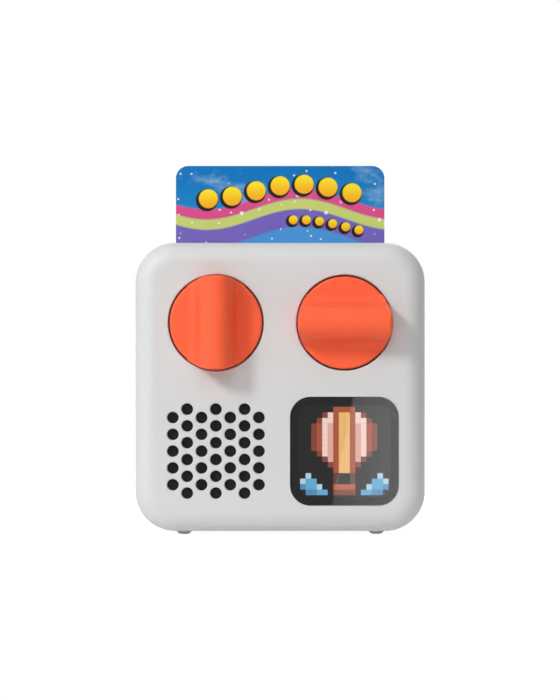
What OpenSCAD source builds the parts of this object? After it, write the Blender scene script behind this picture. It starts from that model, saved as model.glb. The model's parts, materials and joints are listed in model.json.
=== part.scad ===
// Audio story player: a rounded desk-top case with two turn-and-push knobs, a loudspeaker, a small
// picture window and a slot for a story card. Millimetres. The front faces -Y and +Z is up.
// "Depth" is the distance behind the flat front face of the case.

/* [Case] */
// Width of the case
body_w = 73.5; // [73:0.5:84]
// Height of the case, without its feet
body_h = 73.25; // [73:0.25:84]
// Depth of the case, front face to back face
body_d = 42; // [41:0.5:50]
// Wall thickness
wall = 2.2; // [1.8:0.1:2.4]
// Radius of the four corners seen from the front
corner_r = 10; // [9.5:0.5:11]
// Radius of the front edge
front_edge_r = 5; // [3:0.5:5.5]
// Radius of the back edge
rear_edge_r = 3.5; // [3:0.5:5]
// Depth of the seam between the two shells
seam_depth = 32; // [31.6:0.2:33]
// Height of the lip that locates the shells
lip_h = 1.5; // [1:0.1:1.7]
// Thickness of that lip
lip_t = 1; // [0.7:0.1:1.1]

/* [Knobs] */
// Distance between the two knob centres
knob_spacing = 32.5; // [31:0.5:33]
// Height of the knob centres above the middle of the case
knob_rise = 16.275; // [15.5:0.025:16.6]
// Knob diameter
knob_dia = 23.4; // [21:0.1:23.8]
// Gap between a knob and its well
well_gap = 0.4; // [0.3:0.05:0.6]
// Depth of the well that a knob sinks into
well_depth = 6; // [5.8:0.1:6.6]
// How far the flat of a knob stands proud of the case
knob_proud = 0.5; // [0.3:0.1:1]
// Height of the finger fin above the flat of the knob
fin_h = 8; // [6:0.5:9]
// Half width of the fin at its shoulders
fin_half_w = 4.15; // [4:0.05:4.6]
// Radius of the hollow where the fin meets the flat
fin_root_r = 2.7; // [1.5:0.1:3]
// Radius of the fin's shoulders
fin_shoulder_r = 3.9; // [2:0.1:3.9]
// How far the fin's ends stand out over the gap round the knob
fin_overhang = 0.15; // [0:0.05:0.2]
// Radius of the edges at the fin's ends
fin_end_r = 0.8; // [0.4:0.1:1.2]
// Diameter of the encoder shaft
shaft_dia = 6; // [5:0.1:6]
// How far a knob pushes in
push_travel = 0.5; // [0.3:0.1:0.5]

/* [Grille and speaker] */
// Gap between the speaker and the inside of the left wall
speaker_gap = 3.8; // [3.6:0.05:4.2]
// Height of the speaker and picture centres above the bottom of the case
lower_z = 20.4; // [20:0.1:21]
// Diameter of a grille hole
grille_hole_dia = 2.95; // [2:0.05:3]
// Spacing of the grille columns
grille_pitch_x = 3.63; // [3.3:0.01:3.66]
// Spacing of the holes in a column
grille_pitch_z = 4.25; // [3.8:0.01:4.26]
// Side of the square speaker flange
speaker_w = 29; // [28.8:0.1:30.8]
// Depth of the speaker from its flange to the back of its magnet
speaker_len = 11; // [9:0.5:12]

/* [Picture window] */
// Centre of the window, right of the middle of the case
window_x = 16.25; // [15.8:0.05:16.6]
// Side of the square window
window_w = 27.6; // [26.6:0.1:27.8]
// Corner radius of the window
window_r = 5.2; // [4.5:0.1:6]
// Thickness of the window
window_t = 1.6; // [1.2:0.1:1.7]
// Lights along each side of the picture
lights = 16; // [8:1:16]
// Side of the picture
picture_w = 22.4; // [20:0.1:22.6]

/* [Card] */
// Width of the card
card_w = 53.98; // [50:0.01:55]
// Height of the card
card_h = 85.6; // [80:0.1:90]
// Thickness of the card
card_t = 0.76; // [0.5:0.01:0.9]
// Corner radius of the card
card_r = 3.18; // [2:0.01:4]
// Height of the card's stop above the inside floor of the case
card_stop_h = 5.85; // [5.2:0.05:9]
// Depth of the middle of the card
card_depth = 20.2; // [20:0.1:20.6]

/* [Feet] */
// How far the feet lift the case
foot_h = 0.9; // [0.6:0.1:1.5]
// Diameter of a foot where it meets the case
foot_dia = 4; // [3.6:0.1:5]
// Distance between the feet, left to right
foot_spacing = 49; // [44:1:52]

/* [Battery] */
// Width of the battery
battery_w = 50; // [40:1:52]
// Height of the battery
battery_h = 34; // [28:1:36]
// Thickness of the battery
battery_t = 6.2; // [5:0.1:6.6]

/* [Hidden] */
$fn = 64;
eps = 0.02;

// The origin is under the middle of the whole part, with the knobs' fins counted in its depth
knob_reach = knob_proud + fin_h;
face_y = -(body_d + knob_reach) / 2 + knob_reach;
mid_z = foot_h + body_h / 2;

// Inside of the case
in_w = body_w - 2 * wall;
in_h = body_h - 2 * wall;
in_r = corner_r - wall;
side_x = body_w / 2;
in_x = in_w / 2;
floor_z = foot_h + wall;
lip_clear = 0.1;
seam_groove_w = 0.3;
seam_groove_t = 0.4;

// Knobs and encoders
knob_x = knob_spacing / 2;
knob_cz = mid_z + knob_rise;
knob_r = knob_dia / 2;
well_r = knob_r + well_gap;
cup_wall = 1.3;
well_floor_t = 1.5;
well_mouth_r = 0.4;
encoder_depth = well_depth + well_floor_t;
encoder_w = 12;
encoder_t = 5.5;
control_board_depth = encoder_depth + encoder_t;
pcb_t = 1.2;
knob_wall = 1.5;
knob_skirt_depth = well_depth - push_travel - 0.6;
knob_edge_r = 0.6;
// Lean of the fin's flanks: two sides of a 64-sided circle, so that they end on corners of the round parts
fin_lean = 11.25;
knob_hub_r = shaft_dia / 2 + 1.3;
shaft_r = shaft_dia / 2;
running_gap = 0.05;
bushing_r = shaft_r + 0.7;
nut_t = 1.8;
nut_r = bushing_r + 1.9;
bushing_depth = well_depth - nut_t - 0.4;
knob_hub_depth = bushing_depth - push_travel - 0.3;
shaft_tip_depth = -fin_h * 0.6;
collar_r = shaft_r + 0.8;
collar_t = 1.2;
cage_w = 2 * collar_r + 1;
cage_depth = encoder_depth + 0.7;
collar_depth = cage_depth + 0.15;
plunger_depth = collar_depth + collar_t + 0.1;
plunger_t = 0.9;
plunger_pin_r = 0.9;
cage_back = plunger_depth + plunger_t + push_travel + 0.4;

// Speaker
speaker_x = in_x - speaker_gap - speaker_w / 2;
speaker_cz = foot_h + lower_z;
flange_t = 1.2;
gasket_t = 2;
flange_depth = wall + gasket_t;
flange_r = 4.5;
speaker_screw_off = 12.4;
cloth_w = 26.6;
cloth_t = 0.25;
gasket_open_w = 26.9;
cone_r = 10.4;
surround_r = 13;
grille_columns = 7;

// Picture
window_cz = speaker_cz;
window_clear = 0.05;
window_ledge_w = 24;
recess_depth = window_t + 0.1;
diffuser_t = 0.4;
grid_w = 25.8;
grid_r = 4.6;
grid_t = 3;
grid_depth = wall + diffuser_t;
led_depth = grid_depth + grid_t;
led_post_r = 1.5;
led_post_clear = 0.3;
led_screw_off = grid_w / 2 - grid_r + (grid_r + led_post_r + led_post_clear) / sqrt(2);
led_board_w = 2 * (led_screw_off + 1.6);
light_pitch = picture_w / lights;
light_cell = light_pitch - 0.3;
led_w = 0.7;
led_t = 0.4;

// Card and its guide
card_bottom_z = floor_z + card_stop_h;
slot_clear = 0.3;
slot_side_clear = 0.4;
guide_wall = 1.25;
guide_in_t = card_t + 2 * slot_clear;
guide_t = guide_in_t + 2 * guide_wall;
guide_depth = card_depth - guide_t / 2;
guide_w = card_w + 2 * slot_side_clear + 2 * guide_wall;
guide_bottom_z = card_bottom_z - guide_wall;
guide_top_z = foot_h + body_h - wall - 0.5;
guide_clear = 0.2;
guide_window_w = 30;
guide_window_h = 34;
antenna_t = 0.2;
antenna_w = 44;
antenna_h = 50;
antenna_track = 5;
antenna_depth = guide_depth + guide_t;

// Main board
board_t = 1.6;
board_depth = antenna_depth + antenna_t + 0.6;
board_rear = board_depth + board_t;
board_edge_x = in_x - 0.5;
post_x = in_x - 2.6;
post_r = 2.8;
board_half_w = post_x - post_r - 0.6;
board_bottom_z = foot_h + 8;
board_top_z = foot_h + body_h - 8.4;
board_ear_r = post_r - 0.3;
board_ear_h = 4;
board_post_z = foot_h + 41.1;

// Case screws
case_post_z = body_h / 2 - 9.35;
case_post_depth = antenna_depth + antenna_t;
case_screw_bite = 6.5;
post_gap = 0.1;
pilot_r = 0.85;
clear_r = 1.2;
case_head_r = 1.9;
case_head_t = 1.4;
case_head_depth = body_d - 3;
small_head_r = 1.5;
small_head_t = 0.9;
small_clear_r = 0.95;
small_pilot_r = 0.7;

// Side sockets and button, all on the right wall
usb_w = 8.94;
usb_t = 3.26;
usb_len = 7.3;
usb_z = foot_h + 19.1;
usb_depth = board_rear + usb_t / 2;
usb_recess = 0.8;
usb_clear = 0.3;
jack_bore_r = 1.8;
jack_bore_len = 13;
jack_w = 6;
jack_t = 5;
jack_z = foot_h + 30.1;
jack_depth = board_rear + jack_t / 2;
jack_nose_r = 2.9;
jack_recess = 0.4;
jack_clear = 0.15;
button_z = mid_z + 14.35;
button_r = 3.2;
button_clear = 0.1;
button_travel = 0.4;
button_depth = board_rear + 1.75;
button_flange_r = 4;
button_flange_t = 0.6;
button_recess = 0.15;
switch_w = 7;
switch_t = 3.5;
switch_len = 3.6;
switch_face_x = in_x - 1.8;
stem_r = 0.9;

// Feet
foot_x = foot_spacing / 2;
foot_r = foot_dia / 2;
foot_sink = 0.5;
foot_flat_r = 0.7;
front_foot_depth = 7.8;
rear_foot_depth = (seam_depth + body_d - rear_edge_r) / 2;

// Battery
pad_t = 0.5;
battery_back = body_d - wall - pad_t;
battery_cz = mid_z;
rib_t = 1.2;
rib_h = 5;
rib_gap = 0.25;

wire_r = 0.6;
tape_t = 0.25;

// ---------- helpers ----------

// A flat outline in the X-Z plane, from one depth to another
module plate(from, to) {
  translate([0, face_y + to, 0]) rotate([90, 0, 0]) linear_extrude(to - from) children();
}

// A round bar along the depth
module rod(x, z, r, from, to) {
  translate([x, face_y + to, z]) rotate([90, 0, 0]) cylinder(h = to - from, r = r);
}

// A turned shape about an axis along the depth: its outline is radius by depth
module turned(x, z) {
  translate([x, face_y, z]) rotate([-90, 0, 0]) rotate_extrude() children();
}

// A round bar along X at a depth and a height
module side_rod(depth, z, r, from, to) {
  translate([from, face_y + depth, z]) rotate([0, 90, 0]) cylinder(h = to - from, r = r);
}

// An outline in depth (first) and height (second), from one X to another
module side_plate(from, to) {
  translate([from, face_y, 0]) rotate([90, 0, 90]) linear_extrude(to - from) children();
}

// A rectangle about a centre, with round corners
module rounded_rect(w, h, r) {
  square([w - 2 * r, h], center = true);
  square([w, h - 2 * r], center = true);
  for (x = [-1, 1], z = [-1, 1])
    translate([x * (w / 2 - r), z * (h / 2 - r)]) circle(r);
}

module case_outline(w, h, r) { translate([0, mid_z]) rounded_rect(w, h, r); }

// Half of the case's section: out from the middle, with round edges front and back
module edge_section(reach, front, back, front_r, back_r) {
  middle = (front + back) / 2;
  translate([0, front]) square([reach - front_r, middle - front]);
  translate([0, middle]) square([reach - back_r, back - middle]);
  translate([0, front + front_r]) square([reach, back - front - front_r - back_r]);
  translate([reach - front_r, front + front_r]) circle(front_r);
  translate([reach - back_r, back - back_r]) circle(back_r);
}

module whole_section(reach, front, back, front_r, back_r) {
  edge_section(reach, front, back, front_r, back_r);
  mirror([1, 0]) edge_section(reach, front, back, front_r, back_r);
}

// A block with round corners and round front and back edges
module soft_block(w, h, r, front, back, front_r, back_r) {
  for (x = [-1, 1], z = [-1, 1])
    turned(x * (w / 2 - r), mid_z + z * (h / 2 - r))
      edge_section(r, front, back, front_r, back_r);
  translate([0, face_y, mid_z - h / 2 + r]) linear_extrude(h - 2 * r)
    whole_section(w / 2, front, back, front_r, back_r);
  translate([-w / 2 + r, face_y, mid_z]) rotate([0, 90, 0]) linear_extrude(w - 2 * r)
    rotate(0) mirror([1, 0]) whole_section(h / 2, front, back, front_r, back_r);
}

module case_block() {
  soft_block(body_w, body_h, corner_r, 0, body_d, front_edge_r, rear_edge_r);
}

module case_hollow() {
  soft_block(in_w, in_h, in_r, wall, body_d - wall, front_edge_r - wall, rear_edge_r - wall);
}

// A slab across the whole case between two depths
module depth_band(from, to) {
  plate(from, to) translate([-body_w, -5]) square([2 * body_w, 2 * body_h]);
}

// The places of the four case screws, and of the two screws of the main board
module at_case_posts() {
  for (x = [-post_x, post_x], z = [-case_post_z, case_post_z]) translate([x, 0, mid_z + z]) children();
}
module at_board_posts() {
  for (x = [-post_x, post_x]) translate([x, 0, board_post_z]) children();
}

// Four places about a centre
module at_corners(cx, cz, off) {
  for (x = [-off, off], z = [-off, off]) translate([cx + x, 0, cz + z]) children();
}

module at_feet() {
  for (x = [-foot_x, foot_x], d = [front_foot_depth, rear_foot_depth])
    translate([x, face_y + d, foot_h]) children();
}

// A pan-head screw that enters towards the front
module screw(head_depth, reach, head_r, head_t, shank_r) {
  difference() {
    turned(0, 0) {
      translate([0, head_depth]) square([head_r - 0.3, head_t]);
      translate([0, head_depth]) square([head_r, head_t - 0.3]);
      translate([head_r - 0.3, head_depth + head_t - 0.3]) circle(0.3);
      translate([0, head_depth - reach]) square([shank_r, reach]);
    }
    for (a = [0, 90])
      translate([0, face_y + head_depth + head_t, 0]) rotate([0, a, 0])
        cube([1.2 * head_r, head_t, 0.35], center = true);
  }
}

// A wire through a list of points, round at its bends
module wire(points, r) {
  for (i = [0 : len(points) - 2]) {
    step = points[i + 1] - points[i];
    reach = norm(step);
    translate(points[i]) rotate([0, acos(step[2] / reach), atan2(step[1], step[0])])
      cylinder(h = reach, r = r, $fn = 16);
  }
  if (len(points) > 2)
    for (i = [1 : len(points) - 2]) translate(points[i]) sphere(r, $fn = 16);
}

// A point at a depth behind the face
function at(x, depth, z) = [x, face_y + depth, z];

// ---------- case ----------

// The holes of the grille: long columns of six and short columns of five in turn
module grille_holes() {
  last = grille_columns - 1;
  for (c = [0 : last]) {
    holes = c % 2 == 1 ? 6 : 5;
    for (i = [0 : holes - 1])
      translate([-speaker_x + (c - last / 2) * grille_pitch_x, 0,
                 speaker_cz + (i - (holes - 1) / 2) * grille_pitch_z]) {
        rod(0, 0, grille_hole_dia / 2, -1, wall + 1);
        translate([0, face_y + 0.2, 0]) rotate([90, 0, 0])
          cylinder(h = 0.4, r1 = grille_hole_dia / 2, r2 = grille_hole_dia / 2 + 0.4);
      }
  }
}

module knob_well() {
  rod(0, 0, well_r, -1, well_depth);
  rod(0, 0, bushing_r + 0.1, well_depth - 1, encoder_depth + 1);
  turned(0, 0) difference() {
    translate([well_r - eps, -eps]) square(well_mouth_r + eps);
    translate([well_r + well_mouth_r, well_mouth_r]) circle(well_mouth_r);
  }
}

module card_mouth() {
  half = card_w / 2 + slot_side_clear;
  front = card_depth - guide_in_t / 2;
  back = card_depth + guide_in_t / 2;
  top = foot_h + body_h;
  side_plate(-half, half) polygon([
    [front, top - wall - 3], [back, top - wall - 3], [back, top - 0.6], [back + 0.7, top + 0.1],
    [front - 0.7, top + 0.1], [front, top - 0.6]]);
}

module side_holes() {
  side_plate(in_x - 1, side_x + 1) translate([usb_depth, usb_z])
    rounded_rect(usb_t + 2 * usb_clear, usb_w + 2 * usb_clear, usb_t / 2 + usb_clear - 0.05);
  side_rod(jack_depth, jack_z, jack_nose_r + jack_clear, in_x - 1, side_x + 1);
  side_rod(button_depth, button_z, button_r + button_clear, in_x - 1, side_x + 1);
}

module front_posts() {
  intersection() {
    at_case_posts() rod(0, 0, post_r, case_post_depth, seam_depth - lip_h - 0.3);
    case_block();
  }
  intersection() {
    at_board_posts() rod(0, 0, post_r, wall - eps, guide_depth);
    case_block();
  }
  for (z = [-7, 7]) rod(0, knob_cz + z, 2.1, wall - eps, control_board_depth);
  at_corners(-speaker_x, speaker_cz, speaker_screw_off) rod(0, 0, 1.8, wall - eps, flange_depth);
  at_corners(window_x, window_cz, led_screw_off) rod(0, 0, led_post_r, wall - eps, led_depth);
}

module front_pilots() {
  at_case_posts() rod(0, 0, pilot_r, case_post_depth + 0.6, seam_depth);
  at_board_posts() rod(0, 0, small_pilot_r, guide_depth - 6, guide_depth + 1);
  for (z = [-7, 7]) rod(0, knob_cz + z, small_pilot_r, control_board_depth - 5, control_board_depth + 1);
  at_corners(-speaker_x, speaker_cz, speaker_screw_off)
    rod(0, 0, small_pilot_r, 1, flange_depth + 1);
  at_corners(window_x, window_cz, led_screw_off) rod(0, 0, small_pilot_r, wall, led_depth + 1);
}

module foot_recesses() {
  at_feet() translate([0, 0, -eps]) cylinder(h = foot_sink + eps, r = foot_r + 0.1);
}

module front_shell() {
  color([0.84, 0.83, 0.84]) difference() {
    union() {
      difference() {
        intersection() { case_block(); depth_band(-1, seam_depth); }
        case_hollow();
      }
      for (x = [-knob_x, knob_x]) rod(x, knob_cz, well_r + cup_wall, wall - eps, encoder_depth);
      front_posts();
    }
    for (x = [-knob_x, knob_x]) translate([x, 0, knob_cz]) knob_well();
    plate(seam_depth - lip_h, seam_depth + 1)
      case_outline(in_w + 2 * lip_t, in_h + 2 * lip_t, in_r + lip_t);
    grille_holes();
    plate(-1, recess_depth) translate([window_x, window_cz])
      rounded_rect(window_w, window_w, window_r);
    plate(0, wall + 1) translate([window_x, window_cz])
      rounded_rect(window_ledge_w, window_ledge_w, window_r - (window_w - window_ledge_w) / 2);
    card_mouth();
    side_holes();
    front_pilots();
    foot_recesses();
  }
}

module rear_shell() {
  color([0.83, 0.83, 0.83]) difference() {
    union() {
      difference() {
        union() {
          intersection() { case_block(); depth_band(seam_depth, body_d + 1); }
          plate(seam_depth - lip_h + lip_clear, seam_depth + 1) case_outline(
            in_w + 2 * (lip_t - lip_clear), in_h + 2 * (lip_t - lip_clear),
            in_r + lip_t - lip_clear);
        }
        case_hollow();
      }
      intersection() {
        at_case_posts() rod(0, 0, post_r, seam_depth - lip_h - 0.3 + post_gap, body_d - wall + eps);
        case_block_inset();
      }
      battery_ribs();
    }
    at_case_posts() {
      rod(0, 0, clear_r, seam_depth - 5, body_d + 1);
      rod(0, 0, case_head_r + 0.3, case_head_depth, body_d + 1);
    }
    seam_groove();
    foot_recesses();
  }
}

// The fine groove that marks the seam all round
module seam_groove() {
  plate(seam_depth - eps, seam_depth + seam_groove_w) difference() {
    case_outline(body_w + 2, body_h + 2, corner_r + 1);
    case_outline(body_w - 2 * seam_groove_t, body_h - 2 * seam_groove_t, corner_r - seam_groove_t);
  }
}

// What the rear posts may fill: the hollow, a little larger behind the seam so that they join the wall
module case_block_inset() {
  plate(seam_depth - 5, seam_depth)
    case_outline(in_w - 2 * lip_clear, in_h - 2 * lip_clear, in_r - lip_clear);
  plate(seam_depth - eps, body_d - 1) case_outline(in_w + 1, in_h + 1, in_r + 0.5);
}

module battery_ribs() {
  back = body_d - wall;
  plate(back - rib_h, back + eps) translate([0, battery_cz]) difference() {
    square([battery_w + 2 * (rib_gap + rib_t), battery_h + 2 * (rib_gap + rib_t)], center = true);
    square([battery_w + 2 * rib_gap, battery_h + 2 * rib_gap], center = true);
    square([battery_w - 16, battery_h + 10], center = true);
    square([battery_w + 10, battery_h - 16], center = true);
  }
}

module case_screws() {
  color([0.6, 0.6, 0.62]) at_case_posts()
    screw(case_head_depth, case_head_depth - seam_depth + lip_h + case_screw_bite, case_head_r,
          case_head_t, pilot_r);
}

module feet() {
  dome_h = foot_h;
  color([0.72, 0.72, 0.72]) at_feet() {
    cylinder(h = foot_sink - 0.05, r = foot_r);
    rotate_extrude() intersection() {
      translate([0, -dome_h]) square([foot_r, dome_h + eps]);
      union() {
        translate([0, -dome_h]) square([foot_flat_r, dome_h]);
        translate([foot_flat_r, 0]) scale_free_dome(foot_r - foot_flat_r, dome_h);
      }
    }
  }
}

// The round shoulder of a foot: an arc that is level at the flat and steep at the case
module scale_free_dome(w, h) {
  arc_r = (w * w + h * h) / (2 * h);
  intersection() {
    translate([0, -h]) square([w, h]);
    translate([0, arc_r - h]) circle(arc_r);
  }
}

// ---------- knobs and encoders ----------

// Half of the fin's section, across and up from the flat of the knob: a round shoulder, a leaning
// flank that touches it and the root, and the hollow root
module fin_half() {
  crown_w = fin_half_w - fin_shoulder_r;
  crown_z = fin_h - fin_shoulder_r;
  out = [cos(fin_lean), sin(fin_lean)];
  root_x = crown_w + (fin_shoulder_r + fin_root_r + (crown_z - fin_root_r) * out[1]) / out[0];
  flank_top = [crown_w, crown_z] + fin_shoulder_r * out;
  flank_foot = [root_x, fin_root_r] - fin_root_r * out;
  translate([0, -1]) square([crown_w, fin_h + 1]);
  translate([crown_w, crown_z]) circle(fin_shoulder_r);
  difference() {
    polygon([[0, -1], [0, flank_top[1]], flank_top, flank_foot, [root_x, flank_foot[1]], [root_x, -1]]);
    translate([root_x, fin_root_r]) circle(fin_root_r);
  }
}

// A knob about its own axis at the face, with its fin upright
module knob() {
  flat = -knob_proud;
  fin_reach = knob_r + fin_overhang;
  difference() {
    union() {
      turned(0, 0) {
        translate([0, flat]) square([knob_r - knob_edge_r, knob_skirt_depth - flat]);
        translate([0, flat + knob_edge_r]) square([knob_r, knob_skirt_depth - flat - knob_edge_r]);
        translate([knob_r - knob_edge_r, flat + knob_edge_r]) circle(knob_edge_r);
      }
      intersection() {
        translate([0, face_y + flat, -knob_r - 1]) linear_extrude(2 * knob_r + 2) {
          mirror([0, 1]) fin_half();
          mirror([0, 1]) mirror([1, 0]) fin_half();
        }
        turned(0, 0) {
          translate([0, flat - fin_h]) square([fin_reach - fin_end_r, fin_h + 1]);
          translate([0, flat - fin_h + fin_end_r]) square([fin_reach, fin_h - fin_end_r]);
          translate([fin_reach - fin_end_r, flat - fin_h + fin_end_r]) circle(fin_end_r);
        }
      }
    }
    difference() {
      rod(0, 0, knob_r - knob_wall, flat + knob_wall, knob_skirt_depth + 1);
      rod(0, 0, knob_hub_r, flat, knob_hub_depth);
    }
    rod(0, 0, shaft_r, shaft_tip_depth, knob_skirt_depth + 1);
  }
}

module left_knob() { color([1.0, 0.4, 0.25]) translate([-knob_x, 0, knob_cz]) knob(); }
module right_knob() {
  color([1.0, 0.4, 0.25]) translate([knob_x, 0, knob_cz]) rotate([0, 90, 0]) knob();
}

// The turning shaft with the collar that keeps it in the encoder
module shaft() {
  rod(0, 0, shaft_r, shaft_tip_depth, collar_depth + eps);
  rod(0, 0, collar_r, collar_depth, collar_depth + collar_t);
}
module left_shaft() { color([0.75, 0.75, 0.77]) translate([-knob_x, 0, knob_cz]) shaft(); }
module right_shaft() { color([0.75, 0.75, 0.77]) translate([knob_x, 0, knob_cz]) shaft(); }

// The square pusher behind the shaft: it slides but can't turn
module plunger() {
  plate(plunger_depth, plunger_depth + plunger_t) square(cage_w - 0.4, center = true);
  rod(0, 0, plunger_pin_r, plunger_depth + plunger_t - eps, cage_back - push_travel - 0.05);
}
module left_plunger() { color([0.2, 0.2, 0.2]) translate([-knob_x, 0, knob_cz]) plunger(); }
module right_plunger() { color([0.2, 0.2, 0.2]) translate([knob_x, 0, knob_cz]) plunger(); }

module encoder() {
  difference() {
    union() {
      plate(encoder_depth, control_board_depth) square(encoder_w, center = true);
      rod(0, 0, bushing_r, bushing_depth, encoder_depth + 1);
    }
    rod(0, 0, shaft_r + running_gap, bushing_depth - 1, cage_depth + 1);
    plate(cage_depth, cage_back) square(cage_w, center = true);
  }
  for (x = [-2.5, 0, 2.5])
    translate([x, 0, -6.3]) plate(control_board_depth - 2, control_board_depth + pcb_t + 0.8)
      square([0.8, 0.8], center = true);
}
module left_encoder() { color([0.65, 0.66, 0.68]) translate([-knob_x, 0, knob_cz]) encoder(); }
module right_encoder() { color([0.65, 0.66, 0.68]) translate([knob_x, 0, knob_cz]) encoder(); }

module encoder_nuts() {
  color([0.8, 0.8, 0.82]) for (x = [-knob_x, knob_x])
    difference() {
      plate(well_depth - nut_t, well_depth) translate([x, knob_cz]) circle(nut_r, $fn = 6);
      rod(x, knob_cz, bushing_r + running_gap, 0, encoder_depth);
    }
}

module control_board() {
  color([0.1, 0.4, 0.25]) difference() {
    plate(control_board_depth, control_board_depth + pcb_t) translate([0, knob_cz])
      rounded_rect(knob_spacing + encoder_w + 4, 22, 1.5);
    for (z = [-7, 7]) rod(0, knob_cz + z, small_clear_r, 0, 30);
    for (x = [-knob_x, knob_x], i = [-2.5, 0, 2.5])
      rod(x + i, knob_cz - 6.3, 0.75, 0, 30);
  }
}

module control_board_screws() {
  color([0.7, 0.7, 0.72]) for (z = [-7, 7])
    translate([0, 0, knob_cz + z])
      screw(control_board_depth + pcb_t, 5, small_head_r, small_head_t, small_pilot_r);
}

// ---------- picture ----------

module display_window() {
  w = window_w - 2 * window_clear;
  color([0.18, 0.18, 0.18, 0.8]) plate(0, window_t)
    translate([window_x, window_cz]) rounded_rect(w, w, window_r - window_clear);
}

// The black adhesive ring that holds the window on its ledge
module window_tape() {
  outer = window_w - 0.4;
  inner = window_ledge_w - 0.6;
  color([0.08, 0.08, 0.08]) plate(window_t, recess_depth) translate([window_x, window_cz])
    difference() {
      rounded_rect(outer, outer, window_r - 0.2);
      rounded_rect(inner, inner, window_r - (window_w - inner) / 2);
    }
}

module light_diffuser() {
  color([0.95, 0.95, 0.95]) plate(wall, wall + diffuser_t)
    translate([window_x, window_cz]) rounded_rect(grid_w, grid_w, grid_r);
}

module light_grid() {
  color([0.12, 0.12, 0.12]) plate(grid_depth, grid_depth + grid_t)
    translate([window_x, window_cz]) difference() {
      rounded_rect(grid_w, grid_w, grid_r);
      for (i = [0 : lights - 1], j = [0 : lights - 1])
        translate([(i - (lights - 1) / 2) * light_pitch, (j - (lights - 1) / 2) * light_pitch])
          square(light_cell, center = true);
    }
}

module led_board() {
  color([0.1, 0.1, 0.1]) difference() {
    union() {
      plate(led_depth, led_depth + pcb_t) translate([window_x, window_cz])
        rounded_rect(led_board_w, led_board_w, 1.5);
      plate(led_depth - led_t, led_depth + eps) translate([window_x, window_cz])
        for (i = [0 : lights - 1], j = [0 : lights - 1])
          translate([(i - (lights - 1) / 2) * light_pitch, (j - (lights - 1) / 2) * light_pitch])
            square(led_w, center = true);
    }
    at_corners(window_x, window_cz, led_screw_off) rod(0, 0, small_clear_r, 0, 30);
  }
}

module led_board_screws() {
  color([0.7, 0.7, 0.72]) at_corners(window_x, window_cz, led_screw_off)
    screw(led_depth + pcb_t, 4, small_head_r, small_head_t, small_pilot_r);
}

// ---------- speaker ----------

module speaker_corner_cuts(r) {
  for (x = [-1, 1], z = [-1, 1]) translate([x, z] * speaker_screw_off) circle(r);
}

module grille_cloth() {
  color([0.1, 0.1, 0.1]) plate(wall, wall + cloth_t) translate([-speaker_x, speaker_cz])
    difference() {
      square(cloth_w, center = true);
      speaker_corner_cuts(2);
    }
}

module speaker_gasket() {
  color([0.15, 0.15, 0.15]) plate(wall, flange_depth) translate([-speaker_x, speaker_cz])
    difference() {
      rounded_rect(speaker_w, speaker_w, flange_r);
      square(gasket_open_w, center = true);
      speaker_corner_cuts(2);
    }
}

// The pressed basket: a square flange, a round rim and a cup that carries the magnet
module speaker_frame() {
  cup_back = flange_depth + speaker_len - 4.5;
  color([0.25, 0.25, 0.26]) difference() {
    union() {
      plate(flange_depth, flange_depth + flange_t) translate([-speaker_x, speaker_cz])
        rounded_rect(speaker_w, speaker_w, flange_r);
      turned(-speaker_x, speaker_cz) polygon([[0, flange_depth], [surround_r + 1, flange_depth],
        [surround_r + 1, flange_depth + 3], [9.2, cup_back], [0, cup_back]]);
    }
    turned(-speaker_x, speaker_cz) polygon([[0, flange_depth - 1], [surround_r, flange_depth - 1],
      [surround_r, flange_depth + 1], [surround_r - 1, flange_depth + 1],
      [surround_r - 1, flange_depth + 2.8], [8.2, cup_back - 0.9], [0, cup_back - 0.9]]);
    rod(-speaker_x, speaker_cz, 6, 0, 30);
    for (a = [45 : 90 : 315])
      translate([-speaker_x, face_y + flange_depth + 3.4, speaker_cz]) rotate([0, a, 0])
        translate([12, 0, 0]) cube([8, 2.4, 7], center = true);
    at_corners(-speaker_x, speaker_cz, speaker_screw_off) rod(0, 0, small_clear_r, 0, 30);
  }
}

module speaker_surround() {
  color([0.1, 0.1, 0.1]) turned(-speaker_x, speaker_cz) difference() {
    union() {
      translate([cone_r - 0.4, flange_depth + 0.6]) square([surround_r - cone_r + 0.35, 0.4]);
      translate([(cone_r + surround_r) / 2, flange_depth + 0.8]) circle(0.95);
    }
    translate([(cone_r + surround_r) / 2, flange_depth + 0.8]) circle(0.6);
    translate([cone_r - 1, flange_depth + 1]) square([surround_r, 2]);
  }
}

module speaker_cone() {
  rim = flange_depth + 1;
  color([0.3, 0.3, 0.3]) turned(-speaker_x, speaker_cz) {
    polygon([[cone_r, rim], [cone_r, rim + 0.35], [cone_r - 0.6, rim + 0.35], [5.1, rim + 3],
             [4.4, rim + 3], [4.4, rim + 2.6], [5, rim + 2.6], [cone_r - 0.8, rim]]);
    difference() {
      translate([0, rim + 6.2]) circle(5.2);
      translate([0, rim + 6.2]) circle(4.85);
      translate([-10, rim - 5]) square([10, 30]);
      translate([0, rim + 2.9]) square([10, 20]);
    }
    translate([0, rim + 2.6]) square([4.4, 0.35]);
  }
}

module voice_coil() {
  rim = flange_depth + 1;
  color([0.75, 0.45, 0.2]) turned(-speaker_x, speaker_cz)
    translate([4.5, rim + 3]) square([0.4, 3.4]);
}

// Pot, magnet and pole piece, with the gap that the coil moves in
module speaker_magnet() {
  seat = flange_depth + speaker_len - 4.5;
  back = flange_depth + speaker_len;
  color([0.5, 0.5, 0.52]) turned(-speaker_x, speaker_cz) difference() {
    translate([0, seat]) square([9, back - seat]);
    translate([4.2, seat - 1]) square([1, back - seat - 0.6]);
  }
}

module speaker_screws() {
  color([0.7, 0.7, 0.72]) at_corners(-speaker_x, speaker_cz, speaker_screw_off)
    screw(flange_depth + flange_t, 4, small_head_r, small_head_t, small_pilot_r);
}

// ---------- card ----------

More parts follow.
